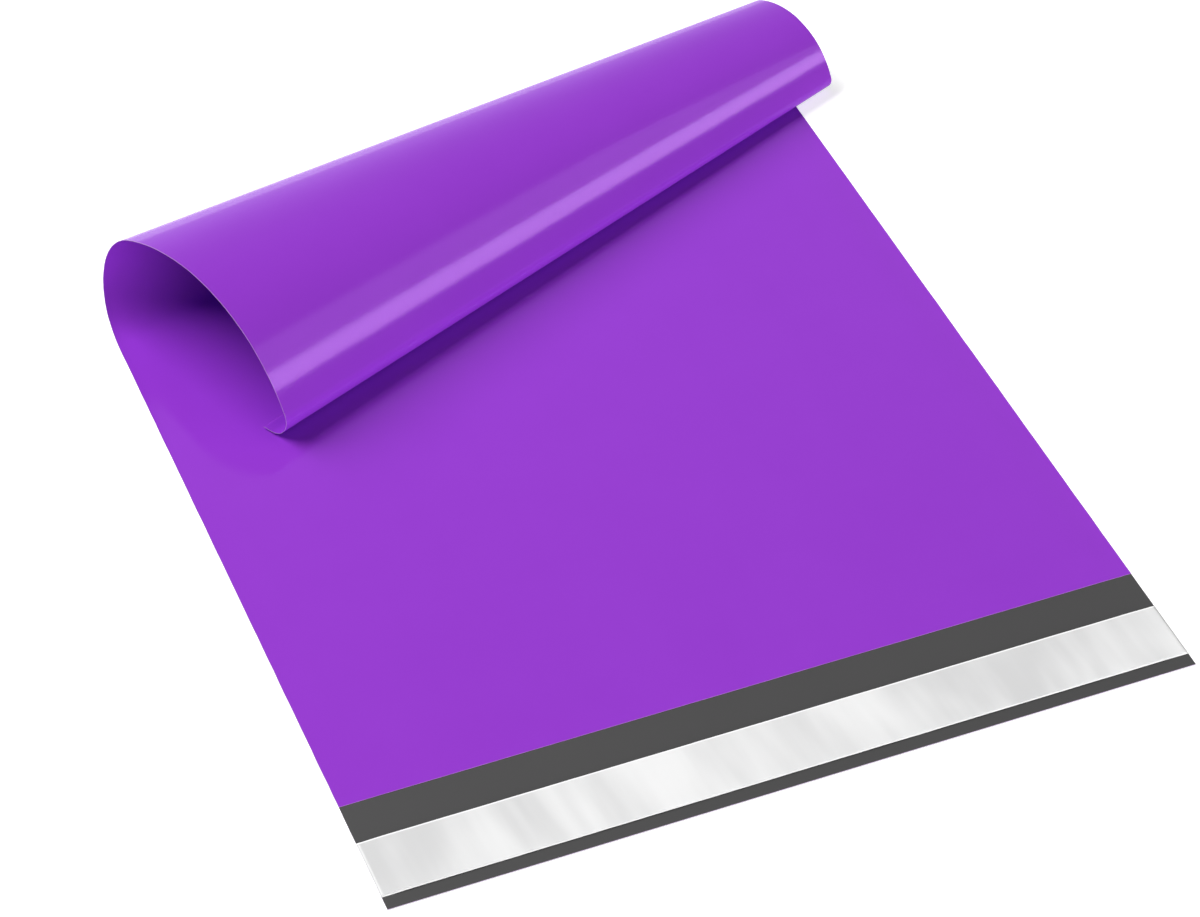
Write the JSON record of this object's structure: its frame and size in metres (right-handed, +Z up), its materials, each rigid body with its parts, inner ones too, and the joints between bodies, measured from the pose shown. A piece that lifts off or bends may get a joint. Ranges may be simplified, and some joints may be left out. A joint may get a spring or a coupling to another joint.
{
  "type": "poly mailer bag",
  "caption": "Flat plastic film mailing bag with an open mouth, an adhesive flap under a release liner and the closed end rolled over towards the flap.",
  "frame": {"origin": "on the underside, on the centre line between the long sides, straight below the mouth edge", "axes": "+Z up from the surface the bag lies on, +Y from the flap towards the closed end, +X across the bag to the right as seen with the flap nearest"},
  "size_m": [0.2649, 0.3297, 0.0388],
  "materials": {
    "film": "glossy co-extruded film, purple outside and dark grey inside",
    "adhesive": "clear yellowish hot-melt adhesive",
    "liner": "white satin release film"
  },
  "bodies": {
    "root": {"film_pouch": "film", "adhesive_strip": "adhesive", "release_liner": "liner"}
  },
  "joints": []
}
